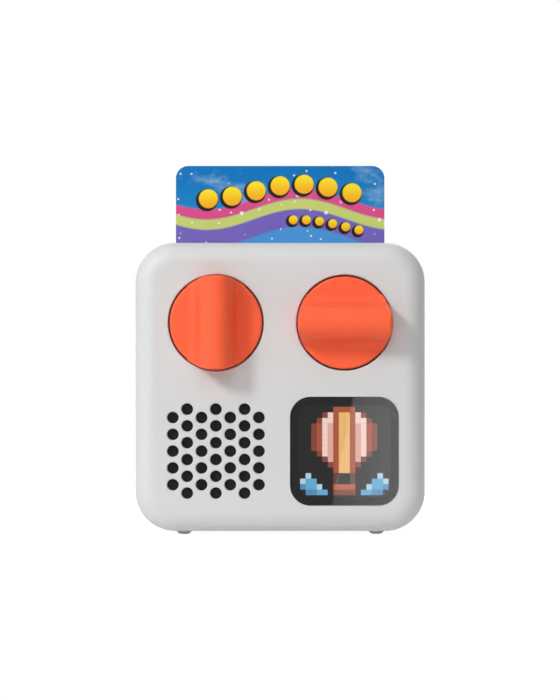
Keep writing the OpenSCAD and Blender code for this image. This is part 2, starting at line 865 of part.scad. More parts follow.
module card_guide() {
  half = card_w / 2 + slot_side_clear;
  front = card_depth - guide_in_t / 2;
  back = card_depth + guide_in_t / 2;
  ear_t = board_depth - guide_depth;
  color([0.75, 0.75, 0.75]) difference() {
    union() {
      plate(guide_depth, guide_depth + guide_t) intersection() {
        translate([-guide_w / 2, guide_bottom_z]) square([guide_w, guide_top_z - guide_bottom_z]);
        case_outline(in_w - 2 * guide_clear, in_h - 2 * guide_clear, in_r - guide_clear);
      }
      plate(guide_depth, guide_depth + ear_t) for (x = [-1, 1]) {
        translate([x * post_x, board_post_z]) circle(board_ear_r);
        translate([x * (post_x + guide_w / 2 - 2) / 2, board_post_z])
          square([post_x - guide_w / 2 + 2, board_ear_h], center = true);
      }
    }
    plate(front, back) translate([-half, card_bottom_z]) square([2 * half, card_h]);
    // windows that save plastic and let the antenna see the card
    plate(0, body_d) translate([0, mid_z]) rounded_rect(guide_window_w, guide_window_h, 3);
    at_board_posts() rod(0, 0, small_clear_r, 0, 40);
    // chamfered entry
    side_plate(-half, half) polygon([
      [front - eps, guide_top_z - 1], [back + eps, guide_top_z - 1],
      [back + 0.6, guide_top_z + 0.1], [front - 0.6, guide_top_z + 0.1]]);
  }
}

module card_antenna() {
  color([0.8, 0.5, 0.2]) plate(antenna_depth, antenna_depth + antenna_t)
    translate([0, mid_z]) difference() {
      rounded_rect(antenna_w, antenna_h, 3);
      rounded_rect(antenna_w - 2 * antenna_track, antenna_h - 2 * antenna_track, 2);
    }
}

module story_card() {
  color([0.3, 0.55, 0.85]) plate(card_depth - card_t / 2, card_depth + card_t / 2)
    translate([0, card_bottom_z + card_h / 2]) rounded_rect(card_w, card_h, card_r);
}

// ---------- main board ----------

module main_board() {
  color([0.1, 0.4, 0.25]) difference() {
    plate(board_depth, board_rear) {
      translate([-board_half_w, board_bottom_z])
        square([2 * board_half_w, board_top_z - board_bottom_z]);
      translate([0, foot_h + 13.6]) square([board_edge_x, 24]);
      translate([0, button_z - switch_w / 2 - 1.5]) square([switch_face_x, switch_w + 3]);
      for (x = [-1, 1]) {
        translate([x * post_x, board_post_z]) circle(board_ear_r);
        translate([x * (post_x + board_half_w - 1) / 2, board_post_z])
          square([post_x - board_half_w + 1, board_ear_h], center = true);
      }
    }
    at_board_posts() rod(0, 0, small_clear_r, 0, 40);
  }
}

// A part on the back of the main board
module chip(x, z, w, h, t) {
  plate(board_rear, board_rear + t) translate([x, z]) square([w, h], center = true);
}

module board_chips() {
  color([0.08, 0.08, 0.08]) {
    chip(-4, mid_z - 2, 12, 12, 1);
    chip(11, mid_z + 2, 8, 6, 1);
    chip(-16, mid_z - 17, 5, 5, 0.9);
    chip(-9, mid_z - 17, 5, 5, 2.2);
    chip(8, mid_z + 16, 16, 12, 1.6);
    chip(18, mid_z - 17, 4, 4, 0.9);
    for (i = [0 : 5]) chip(-20 + 2.4 * i, mid_z + 8, 1, 1.8, 0.5);
    for (i = [0 : 4]) chip(6 + 2.2 * i, mid_z - 8, 1.8, 1, 0.5);
  }
}

// Plug-in connectors: battery, speaker, picture board and control board
battery_plug = [-12, mid_z + 22];
speaker_plug = [-speaker_x, board_bottom_z + 3];
display_plug = [10, board_bottom_z + 2.6];
control_plug = [-board_half_w + 3, mid_z + 14];
plug_t = 3;

module board_connectors() {
  color([0.93, 0.92, 0.88]) {
    chip(battery_plug[0], battery_plug[1], 6, 4.5, plug_t);
    chip(speaker_plug[0], speaker_plug[1], 6, 4.5, plug_t);
    chip(display_plug[0], display_plug[1], 11, 3, 1.5);
    chip(control_plug[0], control_plug[1], 4, 9, 1.5);
  }
}

module main_board_screws() {
  color([0.7, 0.7, 0.72]) at_board_posts()
    screw(board_rear, board_rear - guide_depth + 5, small_head_r, small_head_t, small_pilot_r);
}

module charge_socket() {
  mouth = side_x - usb_recess;
  color([0.72, 0.72, 0.74]) {
    difference() {
      side_plate(mouth - usb_len, mouth) translate([usb_depth, usb_z])
        rounded_rect(usb_t, usb_w, usb_t / 2 - 0.05);
      side_plate(mouth - usb_len + 0.6, mouth + 1) translate([usb_depth, usb_z])
        rounded_rect(usb_t - 0.6, usb_w - 0.6, usb_t / 2 - 0.35);
    }
    side_plate(mouth - usb_len + 0.3, mouth - 0.8) translate([usb_depth, usb_z])
      square([0.7, 6.7], center = true);
  }
}

module headphone_jack() {
  mouth = side_x - jack_recess;
  nose_x = board_edge_x + 0.15;
  color([0.12, 0.12, 0.12]) difference() {
    union() {
      side_plate(mouth - jack_bore_len - 1, nose_x)
        translate([jack_depth, jack_z]) square([jack_t, jack_w], center = true);
      side_rod(jack_depth, jack_z, jack_nose_r, nose_x - eps, mouth);
    }
    side_rod(jack_depth, jack_z, jack_bore_r, mouth - jack_bore_len, mouth + 1);
  }
}

module power_switch() {
  color([0.15, 0.15, 0.15]) difference() {
    side_plate(switch_face_x - switch_len, switch_face_x) translate([button_depth, button_z])
      square([switch_t, switch_w], center = true);
    side_rod(button_depth, button_z, stem_r + running_gap, switch_face_x - 1.4, switch_face_x + 1);
  }
}

module power_stem() {
  color([0.9, 0.9, 0.88]) side_rod(button_depth, button_z, stem_r,
    switch_face_x - 1.4 + button_travel + 0.1, in_x - 0.1 - button_flange_t);
}

module power_button() {
  color([0.84, 0.84, 0.84]) {
    translate([in_x - 0.1 - button_flange_t, face_y + button_depth, button_z]) rotate([0, 90, 0])
      rotate_extrude() {
        square([button_flange_r, button_flange_t]);
        square([button_r, side_x - button_recess - in_x + 0.1 + button_flange_t - 0.4]);
        square([button_r - 0.4, side_x - button_recess - in_x + 0.1 + button_flange_t]);
        translate([button_r - 0.4, side_x - button_recess - in_x + 0.1 + button_flange_t - 0.4])
          circle(0.4);
      }
  }
}

// ---------- battery and cables ----------

module battery() {
  color([0.3, 0.45, 0.75]) plate(battery_back - battery_t, battery_back)
    translate([0, battery_cz]) rounded_rect(battery_w, battery_h, 2);
}

module battery_pad() {
  color([0.2, 0.2, 0.2]) plate(battery_back, battery_back + pad_t)
    translate([0, battery_cz]) rounded_rect(battery_w - 8, battery_h - 8, 1);
}

module battery_cable() {
  front = battery_back - battery_t;
  color([0.8, 0.15, 0.1]) for (i = [-0.8, 0.8])
    wire([at(battery_plug[0] + i, front + 2, battery_cz + battery_h / 2),
          at(battery_plug[0] + i, front + 2, battery_plug[1]),
          at(battery_plug[0] + i, board_rear + plug_t, battery_plug[1])], wire_r);
}

module speaker_cable() {
  color([0.15, 0.15, 0.15]) for (i = [-0.8, 0.8])
    wire([at(speaker_plug[0] + i, flange_depth + 8, speaker_cz - 9),
          at(speaker_plug[0] + i, flange_depth + 8, floor_z + 2),
          at(speaker_plug[0] + i, board_rear + 6, floor_z + 2),
          at(speaker_plug[0] + i, board_rear + 6, speaker_plug[1]),
          at(speaker_plug[0] + i, board_rear + plug_t, speaker_plug[1])], wire_r);
}

// A flat tape that runs under the card guide from the light board to the main board
module display_cable() {
  start = led_depth + pcb_t;
  low = floor_z + 1.2;
  back = board_rear + 2.6;
  color([0.85, 0.6, 0.25]) side_plate(display_plug[0] - 4, display_plug[0] + 4)
    union() {
      translate([start, low]) square([tape_t, speaker_cz - 12 - low]);
      translate([start, low]) square([back - start, tape_t]);
      translate([back - tape_t, low]) square([tape_t, board_bottom_z + 2.6 - low]);
      translate([board_rear + 1.5, board_bottom_z + 2.6 - tape_t])
        square([back - board_rear - 1.5, tape_t]);
    }
}

// A flat tape round the left edge of the card guide from the control board to the main board
module control_cable() {
  edge = max(guide_w / 2, board_half_w) + 1.04;
  start = control_board_depth + pcb_t;
  low_z = control_plug[1] - 3.5;
  color([0.85, 0.6, 0.25]) translate([0, face_y, low_z]) linear_extrude(7) {
    translate([-edge, start]) square([edge - knob_x - 6, tape_t]);
    translate([-edge, start]) square([tape_t, board_rear + 2.5 - start]);
    translate([-edge, board_rear + 2.5 - tape_t]) square([edge + control_plug[0] + 1, tape_t]);
    translate([control_plug[0] + 1 - tape_t, board_rear + 1.5]) square([tape_t, 1]);
  }
}

front_shell();
rear_shell();
case_screws();
feet();
left_knob();
right_knob();
left_shaft();
right_shaft();
left_plunger();
right_plunger();
left_encoder();
right_encoder();
encoder_nuts();
control_board();
control_board_screws();
display_window();
window_tape();
light_diffuser();
light_grid();
led_board();
led_board_screws();
grille_cloth();
speaker_gasket();
speaker_frame();
speaker_surround();
speaker_cone();
voice_coil();
speaker_magnet();
speaker_screws();
card_guide();
card_antenna();
story_card();
main_board();
board_chips();
board_connectors();
main_board_screws();
charge_socket();
headphone_jack();
power_switch();
power_stem();
power_button();
battery();
battery_pad();
battery_cable();
speaker_cable();
display_cable();
control_cable();
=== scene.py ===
"""Looks of the audio story player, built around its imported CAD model. Metres; the front faces -Y."""
import json
import math

import bmesh
import bpy
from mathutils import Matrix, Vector


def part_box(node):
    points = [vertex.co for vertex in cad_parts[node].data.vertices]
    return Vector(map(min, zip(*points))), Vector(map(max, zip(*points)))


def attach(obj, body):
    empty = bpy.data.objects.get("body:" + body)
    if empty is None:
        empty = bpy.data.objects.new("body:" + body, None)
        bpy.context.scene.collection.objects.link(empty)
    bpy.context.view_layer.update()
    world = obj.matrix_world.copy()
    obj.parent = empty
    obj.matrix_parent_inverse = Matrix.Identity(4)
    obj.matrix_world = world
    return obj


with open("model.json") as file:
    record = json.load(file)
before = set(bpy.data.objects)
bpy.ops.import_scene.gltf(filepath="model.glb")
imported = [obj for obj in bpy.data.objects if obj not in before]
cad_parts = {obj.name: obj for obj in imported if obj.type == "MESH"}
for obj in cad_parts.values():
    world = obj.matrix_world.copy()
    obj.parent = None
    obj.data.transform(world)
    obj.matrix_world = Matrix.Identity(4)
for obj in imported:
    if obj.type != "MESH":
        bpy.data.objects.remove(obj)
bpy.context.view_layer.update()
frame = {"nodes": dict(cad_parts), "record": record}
scene = bpy.context.scene
MM = 0.001

# ---------- places taken from the frame ----------
window_low, window_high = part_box("display_window")
card_low, card_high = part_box("story_card")
face_y = window_low.y
window_centre = (window_low + window_high) / 2

# ---------- camera: level, square to the front ----------
IMAGE_H = 700
CAMERA_TO_CARD = 0.850
CARD_PIXELS_PER_MM = 3.861
CAMERA_X = -0.05 * MM
CAMERA_Z = 46.9 * MM
SENSOR = 36.0
CLIP_START = 0.01


def make_camera():
    """A long lens, level, a little below the middle of the knobs, with the card at the measured scale."""
    data = bpy.data.cameras.new("camera")
    camera = bpy.data.objects.new("camera", data)
    scene.collection.objects.link(camera)
    card_y = (card_low.y + card_high.y) / 2
    camera.location = (CAMERA_X, card_y - CAMERA_TO_CARD, CAMERA_Z)
    camera.rotation_euler = (math.radians(90), 0, 0)
    data.sensor_fit = "VERTICAL"
    data.sensor_height = SENSOR
    focal_pixels = CARD_PIXELS_PER_MM * CAMERA_TO_CARD / MM
    data.lens = focal_pixels * SENSOR / IMAGE_H
    data.clip_start = CLIP_START
    scene.camera = camera


# ---------- materials ----------
def srgb(r, g, b):
    """A colour given as 0-255 screen values, as linear values."""
    def one(v):
        v = v / 255
        return v / 12.92 if v <= 0.04045 else ((v + 0.055) / 1.055) ** 2.4
    return (one(r), one(g), one(b), 1.0)


# a Mix node has a socket for each kind of value: these are the ones for colours
MIX_FACTOR, MIX_A, MIX_B, MIX_RESULT = 0, 6, 7, 2
# most of a noise texture's values lie between these
NOISE_LOW, NOISE_HIGH = 0.3, 0.7


class Nodes:
    """A new material with a Principled shader and short ways to add nodes to it."""

    def __init__(self, name):
        self.material = bpy.data.materials.new(name)
        self.material.use_nodes = True
        self.tree = self.material.node_tree
        self.shader = self.tree.nodes["Principled BSDF"]
        self.output = self.tree.nodes["Material Output"]
        self.coords = None

    def add(self, kind, **settings):
        """A new node with its properties set."""
        node = self.tree.nodes.new(kind)
        for key, value in settings.items():
            setattr(node, key, value)
        return node

    def link(self, start, end):
        self.tree.links.new(start, end)

    def position(self):
        """The place on the object, in metres."""
        if self.coords is None:
            self.coords = self.add("ShaderNodeTexCoord")
        return self.coords.outputs["Object"]

    def noise(self, scale, detail=3.0, rough=0.5, stretch=None):
        node = self.add("ShaderNodeTexNoise")
        node.inputs["Scale"].default_value = scale
        node.inputs["Detail"].default_value = detail
        node.inputs["Roughness"].default_value = rough
        source = self.position()
        if stretch:
            mapping = self.add("ShaderNodeMapping")
            mapping.inputs["Scale"].default_value = stretch
            self.link(source, mapping.inputs["Vector"])
            source = mapping.outputs["Vector"]
        self.link(source, node.inputs["Vector"])
        return node.outputs["Fac"]

    def spread(self, value, low, high):
        """A noise value, which lies round 0.5, turned into a range."""
        node = self.add("ShaderNodeMapRange")
        node.inputs["From Min"].default_value = NOISE_LOW
        node.inputs["From Max"].default_value = NOISE_HIGH
        node.inputs["To Min"].default_value = low
        node.inputs["To Max"].default_value = high
        self.link(value, node.inputs["Value"])
        return node.outputs["Result"]

    def mix(self, factor, first, second):
        """The first colour at a factor of 0, the second at 1."""
        node = self.add("ShaderNodeMix", data_type="RGBA")
        for index, value in ((MIX_A, first), (MIX_B, second)):
            if isinstance(value, bpy.types.NodeSocket):
                self.link(value, node.inputs[index])
            else:
                node.inputs[index].default_value = value
        self.link(factor, node.inputs[MIX_FACTOR])
        return node.outputs[MIX_RESULT]

    def bump(self, height, distance):
        """The normal of a surface raised by a height times a distance in metres."""
        node = self.add("ShaderNodeBump")
        node.inputs["Distance"].default_value = distance
        self.link(height, node.inputs["Height"])
        return node.outputs["Normal"]

    def calc(self, operation, *values):
        """One step of arithmetic, on sockets or numbers."""
        node = self.add("ShaderNodeMath", operation=operation)
        for socket, value in zip(node.inputs, values):
            if isinstance(value, (int, float)):
                socket.default_value = value
            else:
                self.link(value, socket)
        return node.outputs[0]

    def ramp(self, value, low, high):
        """0 below low, 1 above high, soft between."""
        node = self.add("ShaderNodeMapRange", interpolation_type="SMOOTHSTEP")
        node.inputs["From Min"].default_value = low
        node.inputs["From Max"].default_value = high
        self.link(value, node.inputs["Value"])
        return node.outputs["Result"]

    def split(self, vector):
        """The parts of a vector, as sockets named X, Y and Z."""
        node = self.add("ShaderNodeSeparateXYZ")
        self.link(vector, node.inputs["Vector"])
        return node.outputs


def scaled(colour, factor):
    """A linear colour made darker or lighter."""
    return tuple(min(1.0, c * factor) for c in colour[:3]) + (1.0,)


def moulded(name, colour, rough=0.45, grain=2500.0, depth=0.004 * MM, vary=0.03, specular=0.5):
    """Moulded plastic: a fine spark-eroded grain, with faint clouding in colour and gloss."""
    n = Nodes(name)
    cloud = n.noise(60.0, 4.0)
    n.link(n.mix(cloud, scaled(colour, 1 - vary), scaled(colour, 1 + vary)),
           n.shader.inputs["Base Color"])
    n.link(n.spread(n.noise(400.0, 2.0), rough - 0.04, rough + 0.04), n.shader.inputs["Roughness"])
    n.shader.inputs["Specular IOR Level"].default_value = specular
    n.link(n.bump(n.noise(grain, 2.0, 0.6), depth), n.shader.inputs["Normal"])
    return n.material


def metal(name, colour, rough=0.3, stretch=(1, 1, 1), depth=0.002 * MM):
    """Bare or plated metal with drawn or turned marks."""
    n = Nodes(name)
    marks = n.noise(900.0, 4.0, 0.6, stretch)
    n.link(n.mix(marks, scaled(colour, 0.85), scaled(colour, 1.1)), n.shader.inputs["Base Color"])
    n.shader.inputs["Metallic"].default_value = 1.0
    n.link(n.spread(marks, rough - 0.08, rough + 0.1), n.shader.inputs["Roughness"])
    n.link(n.bump(marks, depth), n.shader.inputs["Normal"])
    return n.material


def circuit_board(name, colour):
    """Solder mask over tracks: fine level and upright lines that stand a little proud."""
    n = Nodes(name)
    brick = n.add("ShaderNodeTexBrick")
    mapping = n.add("ShaderNodeMapping")
    mapping.inputs["Rotation"].default_value = (math.radians(90), 0, 0)
    n.link(n.position(), mapping.inputs["Vector"])
    n.link(mapping.outputs["Vector"], brick.inputs["Vector"])
    brick.inputs["Scale"].default_value = 260.0
    brick.inputs["Mortar Size"].default_value = 0.06
    brick.inputs["Color1"].default_value = scaled(colour, 1.0)
    brick.inputs["Color2"].default_value = scaled(colour, 0.85)
    brick.inputs["Mortar"].default_value = scaled(colour, 1.7)
    n.link(brick.outputs["Color"], n.shader.inputs["Base Color"])
    n.link(n.spread(n.noise(500.0), 0.25, 0.4), n.shader.inputs["Roughness"])
    n.link(n.bump(brick.outputs["Fac"], 0.02 * MM), n.shader.inputs["Normal"])
    return n.material


# radians that a wave texture of scale 1 turns by in one metre
WAVE_TURN = 20


def woven(name, colour, pitch=0.35 * MM):
    """A fine woven mesh: two crossing waves."""
    n = Nodes(name)
    waves = []
    for direction in ("X", "Z"):
        wave = n.add("ShaderNodeTexWave", bands_direction=direction)
        wave.inputs["Scale"].default_value = 2 * math.pi / (WAVE_TURN * pitch)
        n.link(n.position(), wave.inputs["Vector"])
        waves.append(wave.outputs["Fac"])
    cross = n.calc("MULTIPLY", *waves)
    n.link(n.mix(cross, scaled(colour, 0.5), scaled(colour, 1.5)), n.shader.inputs["Base Color"])
    n.shader.inputs["Roughness"].default_value = 0.85
    n.link(n.bump(cross, 0.05 * MM), n.shader.inputs["Normal"])
    return n.material


WINDOW_ALPHA = 0.55
# the light of a white cell as seen through both faces of the window
CELL_LIGHT = 0.94


def smoked_window():
    """Polished dark acrylic that lets the lit cells through, with faint wiping marks in its gloss."""
    n = Nodes("window")
    n.shader.inputs["Base Color"].default_value = (0.006, 0.006, 0.006, 1)
    n.link(n.spread(n.noise(120.0, 3.0, 0.6, (1, 1, 4)), 0.008, 0.02), n.shader.inputs["Roughness"])
    n.shader.inputs["Specular IOR Level"].default_value = 0.5
    n.shader.inputs["Alpha"].default_value = WINDOW_ALPHA
    return n.material


def picture_light():
    """The lit cells: their colour is held by each cell of the mesh."""
    n = Nodes("picture")
    cell = n.add("ShaderNodeVertexColor", layer_name="light")
    tint = n.add("ShaderNodeMix", data_type="RGBA", blend_type="MULTIPLY")
    tint.inputs[MIX_FACTOR].default_value = 1.0
    n.link(cell.outputs["Color"], tint.inputs[MIX_A])
    n.link(n.mix(n.noise(900.0, 2.0), (0.92, 0.92, 0.92, 1), (1, 1, 1, 1)), tint.inputs[MIX_B])
    n.link(tint.outputs[MIX_RESULT], n.shader.inputs["Emission Color"])
    n.shader.inputs["Base Color"].default_value = (0.05, 0.05, 0.05, 1)
    n.shader.inputs["Emission Strength"].default_value = CELL_LIGHT / (1.0 - WINDOW_ALPHA) ** 2
    n.shader.inputs["Roughness"].default_value = 0.6
    return n.material


# the card's print, in millimetres: how far down the sky fades
SKY_FADE = 22.0
# clouds: the scale of their noise, the values where they start and are whole, how much they hide
CLOUD_SCALE, CLOUD_START, CLOUD_WHOLE, CLOUD_COVER = 75.0, 0.5, 0.72, 0.5
# bands of colour: start below the top edge, depth, colour
CARD_BANDS = ((8.6, 2.6, srgb(228, 74, 132)), (11.2, 2.7, srgb(208, 216, 104)),
              (13.9, 4.6, srgb(122, 96, 186)), (18.5, 9.0, srgb(74, 150, 216)),
              (34.0, 3.0, srgb(208, 216, 104)), (37.0, 6.0, srgb(122, 96, 186)))
# how much the bands hide, and how soft their edges are
BAND_COVER = 0.93
BAND_SOFTNESS = 0.35
# the swell of the bands: radians per millimetre, radians at the middle, height
SWELL_RATE, SWELL_START, SWELL_HEIGHT = 0.13, 0.9, 2.7
# sparkles, small and large: cells per metre, radius in cells, share of the cells that have one
SPARKLES = ((300.0, 0.075, 0.4), (95.0, 0.045, 0.5))
# where a sparkle starts to fade and where it ends, in its radii
SPARKLE_FADE, SPARKLE_END = 0.5, 1.4
# garlands of discs: distance below the top edge, pitch, radius, left end, right end
CARD_GARLANDS = ((6.6, 6.2, 2.45, -21.7, 21.7), (15.8, 3.4, 1.15, 1.7, 22.1))
# the dark rim is a larger disc, set a little low and left; the discs follow a part of the swell
RIM_SHIFT, RIM_GROWTH = 0.35, 0.45
DISC_SOFTNESS = 0.15
DISC_SWELL = 0.7
# the least part of a face's normal along Y with which it counts as front or back
FACING = 0.7


def card_sky(n, down):
    """Sky, deeper towards the top, with clouds."""
    sky = n.mix(n.ramp(down, 0.0, SKY_FADE), srgb(4, 116, 186), srgb(40, 146, 208))
    clouds = n.ramp(n.noise(CLOUD_SCALE, 6.0, 0.62, (1, 1, 1.7)), CLOUD_START, CLOUD_WHOLE)
    return n.mix(n.calc("MULTIPLY", clouds, CLOUD_COVER), sky, srgb(176, 210, 236))


def swell_at(n, across):
    """How far the print is raised at a place across the card."""
    turn = n.calc("MULTIPLY_ADD", across, SWELL_RATE, SWELL_START)
    return n.calc("MULTIPLY", n.calc("SINE", turn), SWELL_HEIGHT)


def card_bands(n, colour, across, down):
    """Waves of colour: bands that follow the swell."""
    level = n.calc("ADD", down, swell_at(n, across))
    for start, depth, tone in CARD_BANDS:
        end = start + depth
        begun = n.ramp(level, start - BAND_SOFTNESS, start + BAND_SOFTNESS)
        ended = n.ramp(level, end - BAND_SOFTNESS, end + BAND_SOFTNESS)
        inside = n.calc("MULTIPLY", begun, n.calc("SUBTRACT", 1.0, ended))
        colour = n.mix(n.calc("MULTIPLY", inside, BAND_COVER), colour, tone)
    return colour


def card_sparkles(n, colour, place):
    """White spots, one in each of a share of the cells, some brighter than others."""
    for scale, reach, share in SPARKLES:
        spots = n.add("ShaderNodeTexVoronoi", feature="F1", voronoi_dimensions="2D")
        spots.inputs["Scale"].default_value = scale
        flat = n.add("ShaderNodeCombineXYZ")
        n.link(place["X"], flat.inputs["X"])
        n.link(place["Z"], flat.inputs["Y"])
        n.link(flat.outputs["Vector"], spots.inputs["Vector"])
        faded = n.ramp(spots.outputs["Distance"], SPARKLE_FADE * reach, SPARKLE_END * reach)
        spark = n.calc("SUBTRACT", 1.0, faded)
        chance = n.split(spots.outputs["Color"])
        lit = n.calc("MULTIPLY", n.calc("LESS_THAN", chance["X"], share), chance["Y"])
        spark = n.calc("MULTIPLY", spark, n.calc("POWER", lit, 0.5))
        colour = n.mix(spark, colour, srgb(250, 250, 255))
    return colour


def card_garlands(n, colour, across, down):
    """Rows of discs: first their dark rims, then the yellow discs."""
    calc = n.calc
    for height, pitch, radius, left, right in CARD_GARLANDS:
        for shift, grow, tone in ((RIM_SHIFT, RIM_GROWTH, srgb(28, 16, 26)), (0.0, 0.0, None)):
            shown = calc("MULTIPLY", calc("GREATER_THAN", across, left - shift),
                         calc("LESS_THAN", across, right - shift))
            place_in_row = calc("DIVIDE", calc("ADD", across, shift - left), pitch)
            step = calc("MULTIPLY", calc("SUBTRACT", calc("FRACT", place_in_row), 0.5), pitch)
            centre = calc("SUBTRACT", calc("ADD", across, shift), step)
            follow = calc("MULTIPLY", swell_at(n, centre), DISC_SWELL)
            rise = calc("ADD", calc("SUBTRACT", down, height + shift), follow)
            square = calc("ADD", calc("MULTIPLY", step, step), calc("MULTIPLY", rise, rise))
            far = calc("SQRT", square)
            if tone is None:
                tone = n.mix(n.ramp(rise, -radius, radius), srgb(255, 228, 44), srgb(250, 176, 30))
            edge = radius + grow
            disc = calc("SUBTRACT", 1.0, n.ramp(far, edge - DISC_SOFTNESS, edge + DISC_SOFTNESS))
            colour = n.mix(calc("MULTIPLY", disc, shown), colour, tone)
    return colour


def printed_card():
    """A laminated card: sky and clouds, soft waves of colour, garlands of yellow discs, no words."""
    n = Nodes("card")
    place = n.split(n.position())
    across = n.calc("MULTIPLY", place["X"], 1 / MM)
    down = n.calc("MULTIPLY", n.calc("SUBTRACT", card_high.z, place["Z"]), 1 / MM)
    plain = card_bands(n, card_sky(n, down), across, down)
    front = card_garlands(n, card_sparkles(n, plain, place), across, down)

    # the back has neither sparkles nor garlands, and the edges are a paler blue
    facing = n.split(n.add("ShaderNodeNewGeometry").outputs["Normal"])["Y"]
    colour = n.mix(n.calc("GREATER_THAN", facing, FACING), front, plain)
    side = n.calc("LESS_THAN", n.calc("ABSOLUTE", facing), FACING)
    n.link(n.mix(side, colour, srgb(120, 160, 205)), n.shader.inputs["Base Color"])
    n.link(n.spread(n.noise(700.0, 2.0), 0.28, 0.38), n.shader.inputs["Roughness"])
    n.shader.inputs["Specular IOR Level"].default_value = 0.15
    n.link(n.bump(n.noise(1500.0, 2.0), 0.001 * MM), n.shader.inputs["Normal"])
    return n.material


def make_materials():
    black = srgb(26, 26, 26)
    return {
        "case": moulded("case", srgb(212, 213, 213), 0.5, 3200.0, 0.003 * MM, 0.008),
        "knob": moulded("knob", srgb(255, 99, 58), 0.5, 3000.0, 0.002 * MM, 0.012, 0.3),
        "foot": moulded("foot", srgb(238, 238, 238), 0.7, 1500.0, 0.006 * MM),
        "steel": metal("steel", srgb(190, 190, 194), 0.32),
        "shaft": metal("shaft", srgb(205, 205, 208), 0.25, (1, 8, 1)),
        "encoder": metal("encoder", srgb(196, 198, 202), 0.3, (6, 1, 1)),
        "black_plastic": moulded("black_plastic", black, 0.5),
        "circuit_board": circuit_board("circuit_board", srgb(22, 96, 62)),
        "black_board": circuit_board("black_board", srgb(24, 24, 26)),
        "window": smoked_window(),
        "window_tape": moulded("window_tape", srgb(8, 8, 8), 0.9, 900.0, 0.001 * MM, 0.03, 0.1),
        "diffuser": moulded("diffuser", srgb(8, 8, 8), 0.9, 900.0, 0.001 * MM, 0.03, 0.1),
        "cloth": woven("cloth", srgb(36, 36, 36)),
        "foam": moulded("foam", srgb(40, 40, 42), 0.95, 1800.0, 0.05 * MM),
        "speaker_metal": moulded("speaker_metal", srgb(38, 38, 40), 0.4),
        "soft_rubber": moulded("soft_rubber", srgb(28, 28, 28), 0.6),
        "cone_paper": moulded("cone_paper", srgb(44, 42, 40), 0.85, 900.0, 0.02 * MM, 0.1),
        "copper": metal("copper", srgb(200, 122, 66), 0.3, (1, 6, 1)),
        "magnet": metal("magnet", srgb(150, 152, 156), 0.28),
        "guide_plastic": moulded("guide_plastic", srgb(176, 176, 176), 0.55),
        "card": printed_card(),
        "connector_plastic": moulded("connector_plastic", srgb(228, 224, 208), 0.5),
        "socket_steel": metal("socket_steel", srgb(196, 197, 200), 0.25, (5, 1, 1)),
        "battery_foil": metal("battery_foil", srgb(96, 128, 190), 0.4),
        "red_wire": moulded("red_wire", srgb(176, 30, 24), 0.5),
        "black_wire": moulded("black_wire", srgb(30, 30, 30), 0.5),
        "tape": moulded("tape", srgb(190, 118, 44), 0.3, 700.0),
    }


def dress_nodes(materials):
    """Gives every CAD node the material of its slot."""
    for part in frame["record"]["subparts"]:
        node = frame["nodes"][part["node"]]
        material = materials[part["material_slot"]]
        if not node.material_slots:
            node.data.materials.append(material)
        for material_slot in node.material_slots:
            material_slot.link = "OBJECT"
            material_slot.material = material


# ---------- picture: a hot-air balloon among clouds, given as its left half ----------
TONES = {
    "d": (94, 54, 45), "b": (130, 58, 34), "o": (172, 78, 42), "r": (186, 98, 58),
    "y": (240, 186, 110), "p": (246, 212, 200), "k": (226, 170, 158),
    "u": (92, 170, 212), "n": (72, 138, 184), "w": (176, 212, 230)}
PICTURE_HALF = (
    "......oo",
    "....bpoy",
    "...bppoy",
    "..bopkoy",
    "..bopkoy",
    "..bopkoy",
    "..bopkoy",
    "..bopkoy",
    "...bpkoy",
    "....bkoy",
    ".....boy",
    "......oy",
    ".w....d.",
    "wuu...d.",
    "nuuw..rr",
    ".nnuu.bb",
)


PICTURE_SPAN = 22.4 * MM
# the cells' depth behind the face, their thickness and the share of the pitch that a half cell takes
CELL_DEPTH = 2.0 * MM
CELL_THICKNESS = 0.15 * MM
CELL_HALF = 0.492


def make_picture():
    """Lit cells behind the window, one tile for each light that is on."""
    rows = len(PICTURE_HALF)
    pitch = PICTURE_SPAN / rows
    half = pitch * CELL_HALF
    front = face_y + CELL_DEPTH
    mesh = bpy.data.meshes.new("picture")
    bm = bmesh.new()
    light = bm.loops.layers.float_color.new("light")
    for r, left in enumerate(PICTURE_HALF):
        for c, key in enumerate(left + left[::-1]):
            if key == ".":
                continue
            tone = srgb(*TONES[key])
            x = window_centre.x + (c - (rows - 1) / 2) * pitch
            z = window_centre.z - (r - (rows - 1) / 2) * pitch
            near = [bm.verts.new((x + dx * half, front, z + dz * half))
                    for dx, dz in ((-1, -1), (1, -1), (1, 1), (-1, 1))]
            far = [bm.verts.new(v.co + Vector((0, CELL_THICKNESS, 0))) for v in near]
            faces = [bm.faces.new(near), bm.faces.new(far[::-1])]
            for i in range(4):
                j = (i + 1) % 4
                faces.append(bm.faces.new((near[j], near[i], far[i], far[j])))
            for face in faces:
                for loop in face.loops:
                    loop[light] = tone
    bm.normal_update()
    bm.to_mesh(mesh)
    bm.free()
    tiles = bpy.data.objects.new("picture", mesh)
    scene.collection.objects.link(tiles)
    mesh.materials.append(picture_light())
    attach(tiles, "root")


# ---------- light and floor ----------
MIDDLE = Vector((0, 0, 45 * MM))
# each light: place from the middle, size, power in watts
LIGHTS = {
    "key": ((-0.522, -0.576, 0.45), 0.20, 3.9),
    "top_box": ((-0.25, -0.45, 0.95), 0.7, 1.0),
    "front_box": ((0.0, -1.5, 0.75), 0.8, 4.2),
    "low_box": ((0.0, -0.9, -0.55), 0.6, 1.2),
    "side_box": ((-0.95, -0.50, 0.10), 0.5, 0.92),
    "over_box": ((0.0, 0.05, 1.2), 0.6, 0.9),
    "back_box": ((0.25, 1.2, 0.7), 0.7, 3.0),
}


